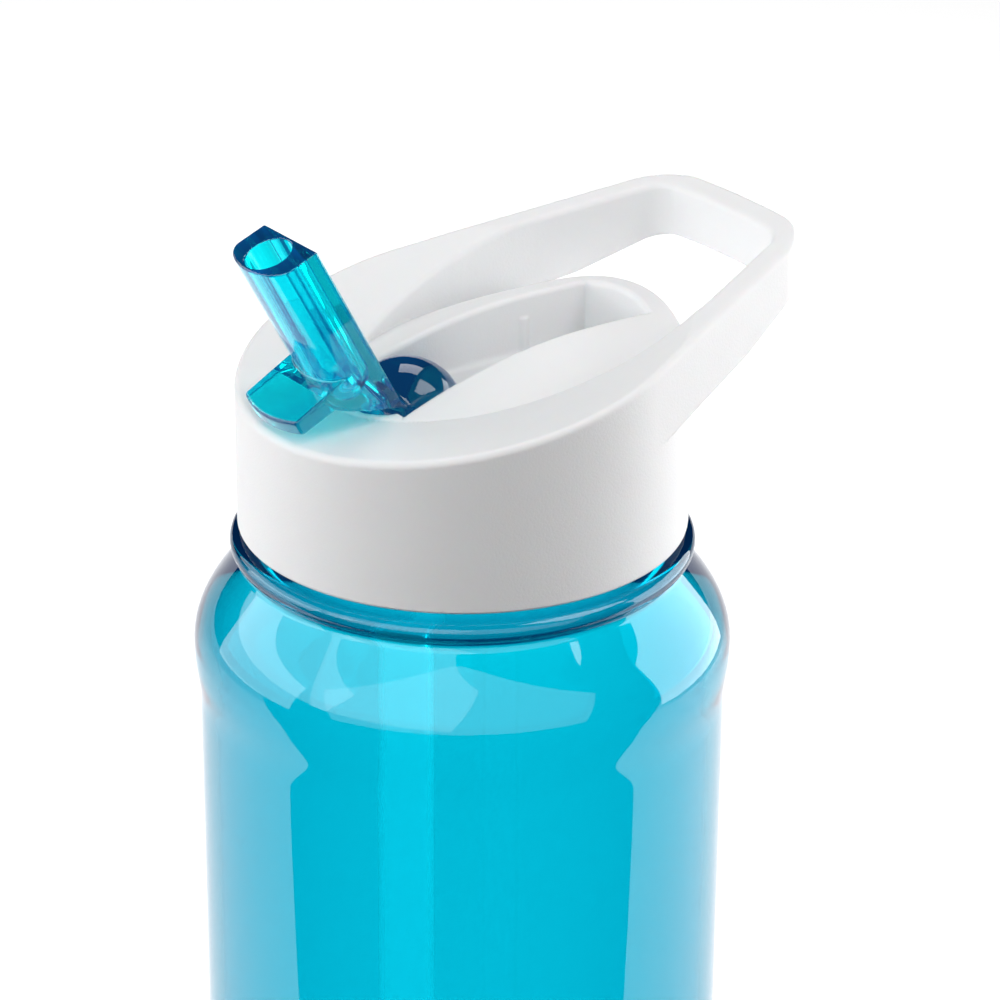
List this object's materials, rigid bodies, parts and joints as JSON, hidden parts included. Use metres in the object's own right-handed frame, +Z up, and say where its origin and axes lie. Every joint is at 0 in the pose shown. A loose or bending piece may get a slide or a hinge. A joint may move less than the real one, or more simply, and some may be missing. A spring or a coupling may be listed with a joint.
{
  "type": "sports bottle",
  "caption": "Clear tinted drinking bottle with a white screw lid, a carry loop, a flip-up spout with a thumb tab, and a straight straw.",
  "frame": {"origin": "centre of the base, on the plane that the bottle stands on", "axes": "+Z up along the bottle's axis, +X towards the end of the carry loop, the spout leans towards -X"},
  "size_m": [0.086, 0.0748, 0.239],
  "materials": {
    "clear_body": "clear tinted copolyester, polished blow mould",
    "white_lid": "white polypropylene, fine spark-eroded mould texture on the outside",
    "clear_spout": "clear tinted copolyester, polished mould",
    "clear_straw": "clear extruded tube",
    "silicone": "translucent white silicone"
  },
  "bodies": {
    "bottle": {"bottle": "clear_body"},
    "lid_gasket": {"lid_gasket": "silicone"},
    "lid": {"lid": "white_lid", "seal_retainer": "white_lid", "spout_seal": "silicone", "straw": "clear_straw", "vent_valve": "silicone"},
    "spout": {"spout": "clear_spout"}
  },
  "joints": [
    {"name": "lid_lift", "type": "slide", "parent": "bottle", "child": "lid_gasket", "axis": [0, 0, 1], "range_m": [0, 0.00562]},
    {"name": "lid_turn", "type": "hinge", "parent": "lid_gasket", "child": "lid", "pos_m": [0, 0, 0.192], "axis": [0, 0, 1], "range_deg": [0, 450]},
    {"name": "spout_flip", "type": "hinge", "parent": "lid", "child": "spout", "pos_m": [-0.0096, 0, 0.2094], "axis": [0, 1, 0], "range_deg": [0, 117]}
  ],
  "couplings": [
    {"joint": "lid_lift", "follows": "lid_turn", "m_per_rad": 0.0007162}
  ]
}
